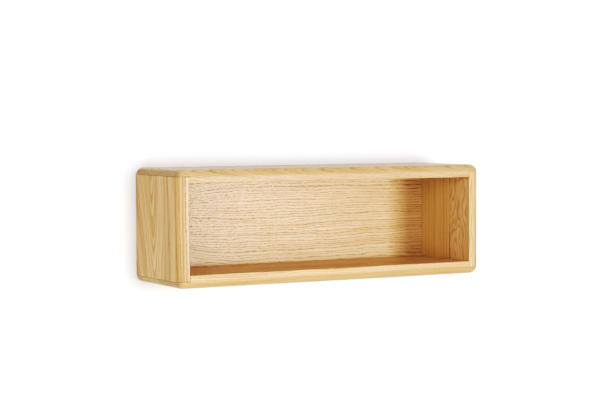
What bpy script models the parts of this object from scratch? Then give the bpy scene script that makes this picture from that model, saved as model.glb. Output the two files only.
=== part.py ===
# Wall shelf: an open oak box with lapped, dowelled corners, a grooved back panel and two keyhole
# hanger plates let into the rear edges of its sides.
# X runs to the right as seen from the front, the front faces -Y, Z is up, and the wall is at Y = 0.
# The origin is the middle of the top board's rear edge.

import math

import bmesh
import bpy
from mathutils import Vector

# Driving dimensions, in metres
SHELF_WIDTH = 0.500
SHELF_HEIGHT = 0.164
SHELF_DEPTH = 0.140
BOARD_THICKNESS = 0.019

# Corner joints: the ends of the top and bottom boards lap over the sides
LAP_THICKNESS = 0.0095
JOINT_GAP = 0.0003

# Edges
OUTER_RADIUS = 0.012
OUTER_RADIUS_STEPS = 8
MOUTH_EASING = 0.001
MOUTH_EASING_STEPS = 3

# Back panel and its groove
PANEL_THICKNESS = 0.005
PANEL_SET_IN = 0.0045
GROOVE_DEPTH = 0.004

# Corner dowels, two in each joint
DOWEL_DIAMETER = 0.005
DOWEL_LENGTH = 0.030
DOWEL_CHAMFER = 0.0006
DOWEL_COVER = 0.007
DOWEL_FRONT_INSET = 0.034
DOWEL_REAR_INSET = 0.032
DOWEL_SIDES = 16

# Keyhole hanger plates
HANGER_WIDTH = 0.014
HANGER_LENGTH = 0.046
HANGER_THICKNESS = 0.002
HANGER_SUNK = 0.0003
HANGER_DROP = 0.040
KEYHOLE_HEAD_DIAMETER = 0.0086
KEYHOLE_NECK_WIDTH = 0.0046
KEYHOLE_TRAVEL = 0.009
POCKET_SIDE_ROOM = 0.0003
POCKET_DEPTH = 0.005
ARC_STEPS = 12

# Countersunk screws of the hanger plates
SCREW_LENGTH = 0.016
SCREW_DIAMETER = 0.003
SCREW_HEAD_DIAMETER = 0.006
SCREW_HEAD_LIP = 0.0002
SCREW_TIP_LENGTH = 0.0035
SCREW_TIP_DIAMETER = 0.0006
SCREW_HEAD_SUNK = 0.0001
SCREW_SIDES = 24
CROSS_LENGTH = 0.0034
CROSS_WIDTH = 0.0008
CROSS_DEPTH = 0.001

# How far a cutter runs past what it cuts
OVERRUN = 0.002

# Points of a turned piece this near each other on its axis are one point
WELD_DISTANCE = 0.00001

# Edges turned more than this stay sharp where a round piece is shaded smooth
SHARP_ANGLE = math.radians(30)

# Planes of the box
OUTER_X = SHELF_WIDTH / 2
INNER_X = OUTER_X - BOARD_THICKNESS
FRONT_Y = -SHELF_DEPTH
PANEL_REAR_Y = -PANEL_SET_IN
PANEL_FRONT_Y = PANEL_REAR_Y - PANEL_THICKNESS
TOP_Z = BOARD_THICKNESS / 2
BOTTOM_Z = TOP_Z - SHELF_HEIGHT
MIDDLE_Z = (TOP_Z + BOTTOM_Z) / 2
OUTER_RISE = SHELF_HEIGHT / 2
INNER_RISE = OUTER_RISE - BOARD_THICKNESS
LAP_RISE = OUTER_RISE - LAP_THICKNESS

# Finishes: colour, roughness and metallic value
OAK = ((0.66, 0.45, 0.22), 0.55, 0.0)
OAK_VENEER = ((0.71, 0.50, 0.27), 0.55, 0.0)
BEECH = ((0.62, 0.41, 0.24), 0.70, 0.0)
ZINC_PLATED_STEEL = ((0.56, 0.57, 0.58), 0.35, 1.0)

SIDES = {"left": -1, "right": 1}
LEVELS = {"top": 1, "bottom": -1}


def clear_scene():
    for obj in list(bpy.data.objects):
        bpy.data.objects.remove(obj, do_unlink=True)


def add_object(name, bm, location=(0, 0, 0)):
    mesh = bpy.data.meshes.new(name)
    bm.to_mesh(mesh)
    bm.free()
    obj = bpy.data.objects.new(name, mesh)
    obj.location = location
    bpy.context.scene.collection.objects.link(obj)
    return obj


def as_piece(obj, finish, carrier):
    colour, roughness, metallic = finish
    material = bpy.data.materials.new(obj.name)
    material.use_nodes = True
    shader = material.node_tree.nodes["Principled BSDF"]
    shader.inputs["Base Color"].default_value = (*colour, 1)
    shader.inputs["Roughness"].default_value = roughness
    shader.inputs["Metallic"].default_value = metallic
    obj.data.materials.append(material)
    obj.parent = carrier
    return obj


def as_cutter(obj):
    obj.hide_render = True
    obj.display_type = "WIRE"
    return obj


def shade_round(obj):
    obj.data.shade_smooth()
    obj.data.set_sharp_from_angle(angle=SHARP_ANGLE)


def add_boolean(obj, other, operation="DIFFERENCE"):
    boolean = obj.modifiers.new(other.name, "BOOLEAN")
    boolean.operation = operation
    boolean.solver = "EXACT"
    boolean.object = other


def box(name, low, high):
    bm = bmesh.new()
    bmesh.ops.create_cube(bm, size=1)
    bmesh.ops.scale(bm, vec=Vector(high) - Vector(low), verts=bm.verts)
    return add_object(name, bm, (Vector(low) + Vector(high)) / 2)


def mirrored_box(name, x_range, y_range, z_range, side=1, level=1):
    """A box given for the right side and the upper half, with Z counted from the shelf's middle."""
    xs = sorted(side * x for x in x_range)
    zs = sorted(MIDDLE_Z + level * z for z in z_range)
    return box(name, (xs[0], min(y_range), zs[0]), (xs[1], max(y_range), zs[1]))


def extruded(outline, depth):
    """An outline of (x, z) points drawn out along +Y."""
    bm = bmesh.new()
    face = bm.faces.new([bm.verts.new((x, 0, z)) for x, z in outline])
    grown = bmesh.ops.extrude_face_region(bm, geom=[face])["geom"]
    moved = [part for part in grown if isinstance(part, bmesh.types.BMVert)]
    bmesh.ops.translate(bm, vec=(0, depth, 0), verts=moved)
    bmesh.ops.recalc_face_normals(bm, faces=bm.faces)
    return bm


def turned(profile, sides):
    """A profile of (radius, distance along -Y) points that starts and ends on the axis."""
    bm = bmesh.new()
    verts = [bm.verts.new((radius, -along, 0)) for radius, along in profile]
    edges = [bm.edges.new(pair) for pair in zip(verts, verts[1:])]
    bmesh.ops.spin(
        bm, geom=verts + edges, axis=(0, 1, 0), cent=(0, 0, 0), steps=sides, angle=math.tau, use_merge=True
    )
    on_axis = [vert for vert in bm.verts if vert.co.x == 0 and vert.co.z == 0]
    bmesh.ops.remove_doubles(bm, verts=on_axis, dist=WELD_DISTANCE)
    bmesh.ops.recalc_face_normals(bm, faces=bm.faces)
    return bm


def arc(centre_z, radius, start, end, steps):
    """Points of an arc round (0, centre_z), with angles from +X towards +Z."""
    angles = [start + (end - start) * step / steps for step in range(steps + 1)]
    return [(radius * math.cos(a), centre_z + radius * math.sin(a)) for a in angles]


def round_ended_outline(radius, spacing):
    """An upright slot's outline: two half circles, with their centres this far apart."""
    upper = arc(spacing / 2, radius, 0, math.pi, ARC_STEPS)
    lower = arc(-spacing / 2, radius, math.pi, math.tau, ARC_STEPS)
    return upper + lower


def keyhole_outline():
    """A round hole for the screw's head, and the neck above it."""
    head_radius = KEYHOLE_HEAD_DIAMETER / 2
    neck_radius = KEYHOLE_NECK_WIDTH / 2
    meeting = math.acos(neck_radius / head_radius)
    head = arc(-KEYHOLE_TRAVEL / 2, head_radius, math.pi - meeting, math.tau + meeting, 2 * ARC_STEPS)
    neck = arc(KEYHOLE_TRAVEL / 2, neck_radius, 0, math.pi, ARC_STEPS)
    return head + neck


def screw_profile(grown=0.0):
    """Head face to tip, each surface moved out by grown."""
    head = SCREW_HEAD_DIAMETER / 2
    shank = SCREW_DIAMETER / 2
    tip = SCREW_TIP_DIAMETER / 2
    cone_end = SCREW_HEAD_LIP + head - shank
    slope_growth = grown * (math.sqrt(2) - 1)
    return [
        (0, -grown),
        (head + grown, -grown),
        (head + grown, SCREW_HEAD_LIP + slope_growth),
        (shank + grown, cone_end + slope_growth),
        (shank + grown, SCREW_LENGTH - SCREW_TIP_LENGTH),
        (tip + grown, SCREW_LENGTH + grown),
        (0, SCREW_LENGTH + grown),
    ]


def make_envelope():
    """The outside of the whole box, rounded over everywhere but at the wall."""
    outer = box("rounded_outside", (-OUTER_X, FRONT_Y, BOTTOM_Z), (OUTER_X, OVERRUN, TOP_Z))
    bm = bmesh.new()
    bm.from_mesh(outer.data)
    rear = max(vert.co.y for vert in bm.verts)
    rounded = [edge for edge in bm.edges if min(vert.co.y for vert in edge.verts) < rear]
    bmesh.ops.bevel(
        bm,
        geom=rounded,
        offset=OUTER_RADIUS,
        offset_type="OFFSET",
        segments=OUTER_RADIUS_STEPS,
        profile=0.5,
        affect="EDGES",
        material=-1,
    )
    bm.to_mesh(outer.data)
    bm.free()
    shade_round(outer)
    return as_cutter(outer)


def make_mouth_cutter():
    """Eases the inner front edges: the mouth's rectangle, widening in a quarter round to the front."""
    bm = bmesh.new()
    steps = range(MOUTH_EASING_STEPS + 1)
    turns = [math.pi / 2 * step / MOUTH_EASING_STEPS for step in steps]
    rounds = [(MOUTH_EASING * (1 - math.cos(t)), MOUTH_EASING * (1 - math.sin(t))) for t in turns]
    layers = [(0, OVERRUN)] + rounds + [(MOUTH_EASING, -OVERRUN)]
    rings = []
    for widening, depth in layers:
        half_x = INNER_X + widening
        half_z = INNER_RISE + widening
        corners = [(-half_x, -half_z), (half_x, -half_z), (half_x, half_z), (-half_x, half_z)]
        verts = [bm.verts.new((x, FRONT_Y + depth, MIDDLE_Z + z)) for x, z in corners]
        rings.append([bm.edges.new((verts[i - 1], verts[i])) for i in range(len(verts))])
    for inner, outer in zip(rings, rings[1:]):
        bmesh.ops.bridge_loops(bm, edges=inner + outer)
    bmesh.ops.holes_fill(bm, edges=bm.edges)
    bmesh.ops.recalc_face_normals(bm, faces=bm.faces)
    return as_cutter(add_object("mouth_easing", bm))


def dowel_places():
    """Each dowel's name, side, level and Y."""
    rows = {"front": FRONT_Y + DOWEL_FRONT_INSET, "rear": -DOWEL_REAR_INSET}
    for level_name, level in LEVELS.items():
        for side_name, side in SIDES.items():
            for row_name, y in rows.items():
                yield f"dowel_{level_name}_{side_name}_{row_name}", side, level, y


def make_dowel(name, side, level, y, carrier):
    """The dowel and the hole for it, which both boards of the joint are cut with."""
    radius = DOWEL_DIAMETER / 2
    half = DOWEL_LENGTH / 2
    flat = radius - DOWEL_CHAMFER
    barrel = half - DOWEL_CHAMFER
    profile = [(0, -half), (flat, -half), (radius, -barrel), (radius, barrel), (flat, half), (0, half)]
    bore = radius + JOINT_GAP
    reach = half + JOINT_GAP
    hole_profile = [(0, -reach), (bore, -reach), (bore, reach), (0, reach)]
    tongue_middle = (LAP_RISE + INNER_RISE) / 2
    place = (side * (OUTER_X - DOWEL_COVER - half), y, MIDDLE_Z + level * tongue_middle)
    dowel = add_object(name, turned(profile, DOWEL_SIDES), place)
    hole = as_cutter(add_object("hole_for_" + name, turned(hole_profile, DOWEL_SIDES), place))
    for obj in (dowel, hole):
        obj.rotation_euler = (0, 0, math.pi / 2)
    shade_round(dowel)
    as_piece(dowel, BEECH, carrier)
    return hole


def make_long_board(level_name, envelope, mouth, dowel_holes, carrier):
    """The top or bottom board: full width, with a rabbet across each end and a groove along its rear."""
    level = LEVELS[level_name]
    name = level_name + "_board"
    board = mirrored_box(
        name,
        (-OUTER_X - OVERRUN, OUTER_X + OVERRUN),
        (FRONT_Y - OVERRUN, 0),
        (INNER_RISE, OUTER_RISE + OVERRUN),
        level=level,
    )
    add_boolean(board, envelope, "INTERSECT")
    for side_name, side in SIDES.items():
        rabbet = mirrored_box(
            f"{name}_{side_name}_rabbet",
            (INNER_X - JOINT_GAP, OUTER_X + OVERRUN),
            (FRONT_Y - OVERRUN, OVERRUN),
            (INNER_RISE - OVERRUN, LAP_RISE),
            side,
            level,
        )
        add_boolean(board, as_cutter(rabbet))
    groove = mirrored_box(
        name + "_groove",
        (-INNER_X - OVERRUN, INNER_X + OVERRUN),
        (PANEL_FRONT_Y - JOINT_GAP, PANEL_REAR_Y + JOINT_GAP),
        (INNER_RISE - OVERRUN, INNER_RISE + GROOVE_DEPTH),
        level=level,
    )
    add_boolean(board, as_cutter(groove))
    for hole in dowel_holes:
        add_boolean(board, hole)
    add_boolean(board, mouth)
    return as_piece(board, OAK, carrier)


def make_side(side_name, envelope, mouth, dowel_holes, hanger_cutters, carrier):
    """A side board, square at both ends, with a groove down its rear and the hanger's recess behind."""
    side = SIDES[side_name]
    name = side_name + "_side"
    end_rise = LAP_RISE - JOINT_GAP
    board = mirrored_box(
        name,
        (INNER_X, OUTER_X + OVERRUN),
        (FRONT_Y - OVERRUN, 0),
        (-end_rise, end_rise),
        side,
    )
    add_boolean(board, envelope, "INTERSECT")
    groove = mirrored_box(
        name + "_groove",
        (INNER_X - OVERRUN, INNER_X + GROOVE_DEPTH),
        (PANEL_FRONT_Y - JOINT_GAP, PANEL_REAR_Y + JOINT_GAP),
        (-OUTER_RISE, OUTER_RISE),
        side,
    )
    add_boolean(board, as_cutter(groove))
    for cutter in dowel_holes + hanger_cutters:
        add_boolean(board, cutter)
    add_boolean(board, mouth)
    return as_piece(board, OAK, carrier)


def make_back_panel(carrier):
    """The panel, whose edges reach into the grooves of all four boards."""
    tongue = GROOVE_DEPTH - JOINT_GAP
    panel = mirrored_box(
        "back_panel",
        (-INNER_X - tongue, INNER_X + tongue),
        (PANEL_FRONT_Y, PANEL_REAR_Y),
        (-INNER_RISE - tongue, INNER_RISE + tongue),
    )
    return as_piece(panel, OAK_VENEER, carrier)


def screw_places(side_name):
    """Each screw's name and height: the screws sit at the centres of the plate's round ends."""
    rise = (HANGER_LENGTH - HANGER_WIDTH) / 2
    for row_name, offset in (("upper", rise), ("lower", -rise)):
        yield f"hanger_screw_{side_name}_{row_name}", TOP_Z - HANGER_DROP + offset


def make_screw(name, place, carrier):
    """One screw with a cross recess. Returns the hole for it, which the plate and the board share."""
    screw = add_object(name, turned(screw_profile(), SCREW_SIDES), place)
    shade_round(screw)
    x, head_y, z = place
    bars = (("upright", CROSS_WIDTH, CROSS_LENGTH), ("level", CROSS_LENGTH, CROSS_WIDTH))
    for bar_name, width, height in bars:
        slot = box(
            f"{name}_{bar_name}_slot",
            (x - width / 2, head_y - CROSS_DEPTH, z - height / 2),
            (x + width / 2, OVERRUN, z + height / 2),
        )
        add_boolean(screw, as_cutter(slot))
    as_piece(screw, ZINC_PLATED_STEEL, carrier)
    return as_cutter(add_object("hole_for_" + name, turned(screw_profile(JOINT_GAP), SCREW_SIDES), place))


def make_hanger(side_name, carrier):
    """One keyhole plate with its two screws. Returns what the side board is cut with for them."""
    name = "hanger_" + side_name
    x = SIDES[side_name] * (OUTER_X + INNER_X) / 2
    z = TOP_Z - HANGER_DROP
    plate_rear_y = -HANGER_SUNK
    plate_front_y = plate_rear_y - HANGER_THICKNESS
    recess_y = plate_front_y - JOINT_GAP
    end_radius = HANGER_WIDTH / 2
    end_spacing = HANGER_LENGTH - HANGER_WIDTH
    pocket_radius = KEYHOLE_HEAD_DIAMETER / 2 + POCKET_SIDE_ROOM

    def slab(slab_name, outline, low_y, high_y):
        return add_object(slab_name, extruded(outline, high_y - low_y), (x, low_y, z))

    plate = slab(name, round_ended_outline(end_radius, end_spacing), plate_front_y, plate_rear_y)
    keyhole = slab(name + "_keyhole", keyhole_outline(), plate_front_y - OVERRUN, OVERRUN)
    add_boolean(plate, as_cutter(keyhole))

    recess_outline = round_ended_outline(end_radius + JOINT_GAP, end_spacing)
    recess = slab(name + "_recess", recess_outline, recess_y, OVERRUN)
    pocket_outline = round_ended_outline(pocket_radius, KEYHOLE_TRAVEL)
    pocket = slab(name + "_pocket", pocket_outline, recess_y - POCKET_DEPTH, OVERRUN)
    cutters = [as_cutter(recess), as_cutter(pocket)]

    for screw_name, screw_z in screw_places(side_name):
        hole = make_screw(screw_name, (x, plate_rear_y - SCREW_HEAD_SUNK, screw_z), carrier)
        add_boolean(plate, hole)
        cutters.append(hole)
    as_piece(plate, ZINC_PLATED_STEEL, carrier)
    return cutters


def main():
    clear_scene()
    shelf = bpy.data.objects.new("shelf", None)
    bpy.context.scene.collection.objects.link(shelf)
    envelope = make_envelope()
    mouth = make_mouth_cutter()
    holes = {(side, level): [] for side in SIDES.values() for level in LEVELS.values()}
    for name, side, level, y in dowel_places():
        holes[side, level].append(make_dowel(name, side, level, y, shelf))
    for level_name, level in LEVELS.items():
        level_holes = [hole for side in SIDES.values() for hole in holes[side, level]]
        make_long_board(level_name, envelope, mouth, level_holes, shelf)
    for side_name, side in SIDES.items():
        side_holes = [hole for level in LEVELS.values() for hole in holes[side, level]]
        make_side(side_name, envelope, mouth, side_holes, make_hanger(side_name, shelf), shelf)
    make_back_panel(shelf)


main()
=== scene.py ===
import math

import bmesh
import bpy
from mathutils import Matrix, Vector


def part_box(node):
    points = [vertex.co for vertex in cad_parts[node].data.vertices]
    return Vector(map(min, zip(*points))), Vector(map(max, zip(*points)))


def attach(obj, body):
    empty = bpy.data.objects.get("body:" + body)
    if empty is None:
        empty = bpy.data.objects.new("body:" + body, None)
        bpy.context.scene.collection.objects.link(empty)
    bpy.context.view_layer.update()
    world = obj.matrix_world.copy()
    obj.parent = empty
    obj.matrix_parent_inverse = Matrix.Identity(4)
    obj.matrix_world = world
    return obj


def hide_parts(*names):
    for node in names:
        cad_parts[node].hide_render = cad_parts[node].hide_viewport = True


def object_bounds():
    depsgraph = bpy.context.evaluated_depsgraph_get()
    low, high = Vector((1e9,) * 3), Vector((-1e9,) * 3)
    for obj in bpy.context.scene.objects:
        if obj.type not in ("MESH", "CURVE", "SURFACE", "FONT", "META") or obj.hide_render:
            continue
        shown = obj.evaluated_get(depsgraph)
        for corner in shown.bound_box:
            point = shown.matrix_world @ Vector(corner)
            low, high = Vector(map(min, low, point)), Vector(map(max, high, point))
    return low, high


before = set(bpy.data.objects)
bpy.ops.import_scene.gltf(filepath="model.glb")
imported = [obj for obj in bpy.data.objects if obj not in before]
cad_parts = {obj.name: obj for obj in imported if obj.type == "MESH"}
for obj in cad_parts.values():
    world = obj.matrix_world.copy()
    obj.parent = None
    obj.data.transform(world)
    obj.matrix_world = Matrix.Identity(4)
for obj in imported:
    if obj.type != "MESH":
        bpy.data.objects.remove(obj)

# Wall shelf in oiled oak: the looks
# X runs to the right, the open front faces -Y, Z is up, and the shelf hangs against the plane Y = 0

tiny = 0.00001
millimetresInAMetre = 1000

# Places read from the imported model
cadLow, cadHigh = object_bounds()
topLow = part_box("top_board")[0]
sideLow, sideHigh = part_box("right_side")
panelLow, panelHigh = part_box("back_panel")
middleZ = (cadLow.z + cadHigh.z) / 2
innerX = sideLow.x
outerX = cadHigh.x
outerRise = cadHigh.z - middleZ
innerRise = topLow.z - middleZ

sides = {"left": -1, "right": 1}
levels = {"top": 1, "bottom": -1}

# Kinds of node that the materials use again and again
maths = "ShaderNodeMath"
vectorMaths = "ShaderNodeVectorMath"
splitXYZ = "ShaderNodeSeparateXYZ"
joinXYZ = "ShaderNodeCombineXYZ"
noise = "ShaderNodeTexNoise"
mapRange = "ShaderNodeMapRange"
mix = "ShaderNodeMix"    # as RGBA it mixes inputs 6 and 7 into output 2, as a number 2 and 3 into output 0


# Small helpers

# sRGB hex text to linear RGBA
def hexColour(text):
    parts = [int(text[i:i + 2], 16) / 255 for i in (1, 3, 5)]
    linear = [p / 12.92 if p <= 0.04045 else ((p + 0.055) / 1.055) ** 2.4 for p in parts]
    return (*linear, 1)


# Adds a node. An input given as a node or socket is linked, any other value is set.
def addNode(tree, kind, inputs=None, **settings):
    node = tree.nodes.new(kind)
    for name, value in settings.items():
        setattr(node, name, value)
    for socket, value in (inputs or {}).items():
        if isinstance(value, bpy.types.Node):
            value = value.outputs[0]
        if isinstance(value, bpy.types.NodeSocket):
            tree.links.new(value, node.inputs[socket])
        else:
            node.inputs[socket].default_value = value
    return node


def newMaterial(name):
    material = bpy.data.materials.new(name)
    material.use_nodes = True
    material.node_tree.nodes.clear()
    return material, material.node_tree


def newObject(name, bm, material=None):
    mesh = bpy.data.meshes.new(name)
    bm.to_mesh(mesh)
    bm.free()
    if material:
        mesh.materials.append(material)
    obj = bpy.data.objects.new(name, mesh)
    bpy.context.scene.collection.objects.link(obj)
    return obj


def boxMesh(low, high):
    bm = bmesh.new()
    bmesh.ops.create_cube(bm, size=1)
    bmesh.ops.scale(bm, vec=Vector(high) - Vector(low), verts=bm.verts)
    bmesh.ops.translate(bm, vec=(Vector(high) + Vector(low)) / 2, verts=bm.verts)
    return bm


# A box given for the right side and the upper half, with Z counted from the shelf's middle
def mirroredBox(xRange, yRange, zRange, side=1, level=1):
    xs = sorted(side * x for x in xRange)
    zs = sorted(middleZ + level * z for z in zRange)
    return boxMesh((xs[0], min(yRange), zs[0]), (xs[1], max(yRange), zs[1]))


# A round bar through stations of (distance along, radius), laid along an axis from a start point
def roundBar(stations, segments, start, axis, flutes=0, fluteDepth=0.0):
    bm = bmesh.new()
    rings = []
    for along, radius in stations:
        ring = bmesh.ops.create_circle(
            bm, segments=segments, radius=radius, matrix=Matrix.Translation((0, 0, along))
        )["verts"]
        if flutes:
            perFlute = segments // flutes
            grooved = [vert for place, vert in enumerate(ring) if place % perFlute == 0]
            shrink = (radius - fluteDepth) / radius
            bmesh.ops.scale(bm, vec=(shrink, shrink, 1), verts=grooved)
        rings.append(list({edge for vert in ring for edge in vert.link_edges}))
    for lower, upper in zip(rings, rings[1:]):
        bmesh.ops.bridge_loops(bm, edges=lower + upper)
    bmesh.ops.holes_fill(bm, edges=bm.edges[:], sides=0)
    turn = Vector((0, 0, 1)).rotation_difference(Vector(axis)).to_matrix().to_4x4()
    bmesh.ops.transform(bm, matrix=Matrix.Translation(start) @ turn, verts=bm.verts)
    bmesh.ops.recalc_face_normals(bm, faces=bm.faces)
    return bm


# An upright slab with half-round ends, standing in the XZ plane
def slotMesh(x, z, radius, spacing, nearY, farY, endSteps):
    low = (x - radius, min(nearY, farY), z - spacing / 2 - radius)
    high = (x + radius, max(nearY, farY), z + spacing / 2 + radius)
    bm = boxMesh(low, high)
    upright = [e for e in bm.edges if abs(e.verts[0].co.y - e.verts[1].co.y) > tiny]
    bmesh.ops.bevel(
        bm, geom=upright, offset=radius - tiny, offset_type="OFFSET", affect="EDGES",
        segments=endSteps, profile=0.5, material=-1,
    )
    # the two rounds of an end stop a hair apart, so their last points are merged
    bmesh.ops.remove_doubles(bm, verts=bm.verts, dist=3 * tiny)
    return bm


# Joins the bmesh onto the object with UNION, or cuts it out with DIFFERENCE
def combine(obj, bm, operation):
    other = newObject("other", bm)
    boolean = obj.modifiers.new("boolean", "BOOLEAN")
    boolean.operation = operation
    boolean.solver = "EXACT"
    boolean.object = other
    result = bpy.data.meshes.new_from_object(obj.evaluated_get(bpy.context.evaluated_depsgraph_get()))
    obj.modifiers.clear()
    old = obj.data
    result.name = old.name
    obj.data = result
    bpy.data.meshes.remove(old)
    bpy.data.objects.remove(other, do_unlink=True)


def carve(obj, *cutters):
    for bm in cutters:
        combine(obj, bm, "DIFFERENCE")


# Round parts smooth, flat faces kept flat, and the calls that put the piece in its node's place
def finishPiece(obj, node, sharpAngle):
    obj.data.shade_smooth()
    obj.data.set_sharp_from_angle(angle=math.radians(sharpAngle))
    even = obj.modifiers.new("evenNormals", "WEIGHTED_NORMAL")
    even.keep_sharp = True
    even.weight = 100    # the largest faces set the shading, so they look flat up to their rounds
    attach(obj, "root")
    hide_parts(node)


def pieceName(node):
    first, *rest = node.split("_")
    return first + "".join(word.capitalize() for word in rest)


# Oiled oak
# Sawn European oak, sanded fine and oiled. It gives the eye a warm cream ground with gold early-wood
# bands, rows of short brown pore dashes along the grain, and a low satin sheen.

oak = {
    "pale": "#D4B188",
    "gold": "#C39A63",
    "pore": "#A0764A",
    "endGrain": "#8F7B5E",
    "glueLine": "#7A5128",
    "roughness": 0.34,
    "poreRoughness": 0.2,       # added where a pore breaks the polish
    "endRoughness": 0.25,       # added on end grain
    "endShare": 0.65,           # how much of the end grain's colour shows there
    "endFacing": (0.25, 0.8),   # how squarely a face cuts the grain: still side grain, then all end grain
    "levelFacing": (0.8, 1.0),  # how squarely a face looks up: still the rounded edge, then the level top
    "glueCore": 0.0003,         # half the width of the glue line's darkest part
    "glueCells": 14,            # how often a glue line gets darker and paler, to the metre
    "glueNoise": (0.4, 0.6),    # noise of its palest and of its darkest stretches
    "glueShade": (0.35, 1.2),   # and their shares of its strength
    "ior": 1.48,
    "bumpStrength": 0.3,
    "bumpDepth": 0.00012,
}

oakColours = ("pale", "gold", "pore")

# What a stave may set, with its usual value. Lengths are in millimetres.
growthSockets = {
    "ringWidth": ("Ring width", 3.0),
    "ringShift": ("Ring shift", 0.0),
    "taper": ("Taper", 0.03),           # how fast the rings narrow along the stem
    "sway": ("Sway", 3.0),              # slow bends of the stem
    "curl": ("Curl", 0.6),              # small ripples
    "bands": ("Bands", 0.6),            # how strong the gold bands are
    "yearTone": ("Year tone", 0.4),     # how much one year differs from the next
    "dashes": ("Dashes", 0.25),         # how strong the dashed rows of pores are
    "dashLength": ("Dash length", 13.0),
    "rowWidth": ("Row width", 0.16),    # of a row of pores, as a share of its ring
    "poreLength": ("Pore length", 6.0),
    "poreWidth": ("Pore width", 0.55),  # real pores are 0.3 mm wide, too fine to show from here
    "pores": ("Pores", 0.3),
}

# What all staves share. Sizes are in millimetres along the grain and across it.
oakDetail = {
    "swaySize": (170, 60, 60),
    "curlSize": (34, 12, 12),
    "bendRoughness": 0.4,
    "bendReach": (0, 3, 3),         # of the bends, in the noise's own span
    "yearCells": 0.37,              # how often wide and narrow years change places
    "yearSpread": 1.2,              # and by how much, in years
    "yearWave": ((0.0, 0.0), (0.08, 1.0), (0.30, 0.8), (0.62, 0.15), (1.0, 0.0)),    # early wood in a year
    "rowPlace": 0.25,               # where in its year the row of pores lies
    "rowCore": 0.3,                 # share of the row's width that is fully dark
    "rowStep": 5.3,                 # step in the noise from one year's row to the next
    "rowStrength": (0.4, 0.6),      # a row's own share of its strength, and the least that all have
    "dashRoughness": 0.6,
    "dashNoise": (0.40, 0.64),      # noise of a gap between dashes, and of a full dash
    "dashShade": (0.15, 1.0),
    "poreReach": (0.30, 0.14),      # more pore in early wood, and the least everywhere
    "poreEdge": 0.07,
    "fibreSize": (22, 0.5, 0.5),    # real fibres are far finer, and are drawn coarse enough to show
    "fibreTone": (0.22, 0.89),
    "fibreHeight": 0.25,
    "patchSize": (110, 8, 8),
    "patchShift": -0.38,
    "toneCells": 0.45,              # how often golden and pale years change places
    "toneReach": 3.0,
}


# The stem sways slowly along its length and ripples a little
def bentPlace(tree, given):
    bent = given["Place"]
    for amount, size in (("Sway", oakDetail["swaySize"]), ("Curl", oakDetail["curlSize"])):
        cells = addNode(tree, vectorMaths, {0: given["Place"], 1: size}, operation="DIVIDE")
        wander = addNode(
            tree, noise,
            {"Vector": cells, "Scale": 1, "Detail": 1, "Roughness": oakDetail["bendRoughness"]},
        ).outputs["Color"]
        centred = addNode(tree, vectorMaths, {0: wander, 1: (0.5, 0.5, 0.5)}, operation="SUBTRACT")
        across = addNode(tree, vectorMaths, {0: centred, 1: oakDetail["bendReach"]}, operation="MULTIPLY")
        scaled = addNode(tree, vectorMaths, {0: across, "Scale": given[amount]}, operation="SCALE")
        bent = addNode(tree, vectorMaths, {0: bent, 1: scaled}, operation="ADD")
    return bent


# Growth rings are cones round the pith, counted in years from it
def ringCount(tree, given, bent, along):
    sideways = addNode(tree, vectorMaths, {0: bent, 1: (0, 1, 1)}, operation="MULTIPLY")
    radius = addNode(tree, vectorMaths, {0: sideways}, operation="LENGTH").outputs["Value"]
    narrowed = addNode(tree, maths, {0: along, 1: given["Taper"]}, operation="MULTIPLY")
    cone = addNode(tree, maths, {0: radius, 1: narrowed}, operation="SUBTRACT")
    shifted = addNode(tree, maths, {0: cone, 1: given["Ring shift"]}, operation="ADD")
    return addNode(tree, maths, {0: shifted, 1: given["Ring width"]}, operation="DIVIDE")


# How far the wood is early wood, from the place in its year
def earlyWood(tree, phase):
    wave = addNode(tree, "ShaderNodeValToRGB", {"Fac": phase})
    ramp = wave.color_ramp
    ramp.interpolation = "EASE"
    while len(ramp.elements) < len(oakDetail["yearWave"]):
        ramp.elements.new(0.5)
    for element, (place, value) in zip(ramp.elements, oakDetail["yearWave"]):
        element.position = place
        element.color = (value, value, value, 1)
    return wave


# Broken rows of pores: each year has its own run of dashes
def dashedRows(tree, given, phase, year, along):
    offset = addNode(tree, maths, {0: phase, 1: oakDetail["rowPlace"]}, operation="SUBTRACT")
    fromRow = addNode(tree, maths, {0: offset}, operation="ABSOLUTE")
    core = addNode(tree, maths, {0: given["Row width"], 1: oakDetail["rowCore"]}, operation="MULTIPLY")
    row = addNode(
        tree, mapRange,
        {"Value": fromRow, "From Min": given["Row width"], "From Max": core},
        interpolation_type="SMOOTHSTEP",
    )
    ownShare = addNode(tree, "ShaderNodeTexWhiteNoise", {"W": year}, noise_dimensions="1D").outputs["Value"]
    lengthwise = addNode(tree, maths, {0: along, 1: given["Dash length"]}, operation="DIVIDE")
    step = addNode(tree, maths, {0: year, 1: oakDetail["rowStep"]}, operation="MULTIPLY")
    place = addNode(tree, joinXYZ, {0: lengthwise, 1: step, 2: ownShare})
    run = addNode(
        tree, noise, {"Vector": place, "Scale": 1, "Detail": 2, "Roughness": oakDetail["dashRoughness"]}
    )
    gap, full = oakDetail["dashNoise"]
    least, most = oakDetail["dashShade"]
    dash = addNode(
        tree, mapRange,
        {"Value": run, "From Min": gap, "From Max": full, "To Min": least, "To Max": most},
        interpolation_type="SMOOTHSTEP",
    )
    own, shared = oakDetail["rowStrength"]
    strength = addNode(tree, maths, {0: ownShare, 1: own, 2: shared}, operation="MULTIPLY_ADD")
    broken = addNode(tree, maths, {0: row, 1: dash}, operation="MULTIPLY")
    return addNode(tree, maths, {0: broken, 1: strength}, operation="MULTIPLY")


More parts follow.
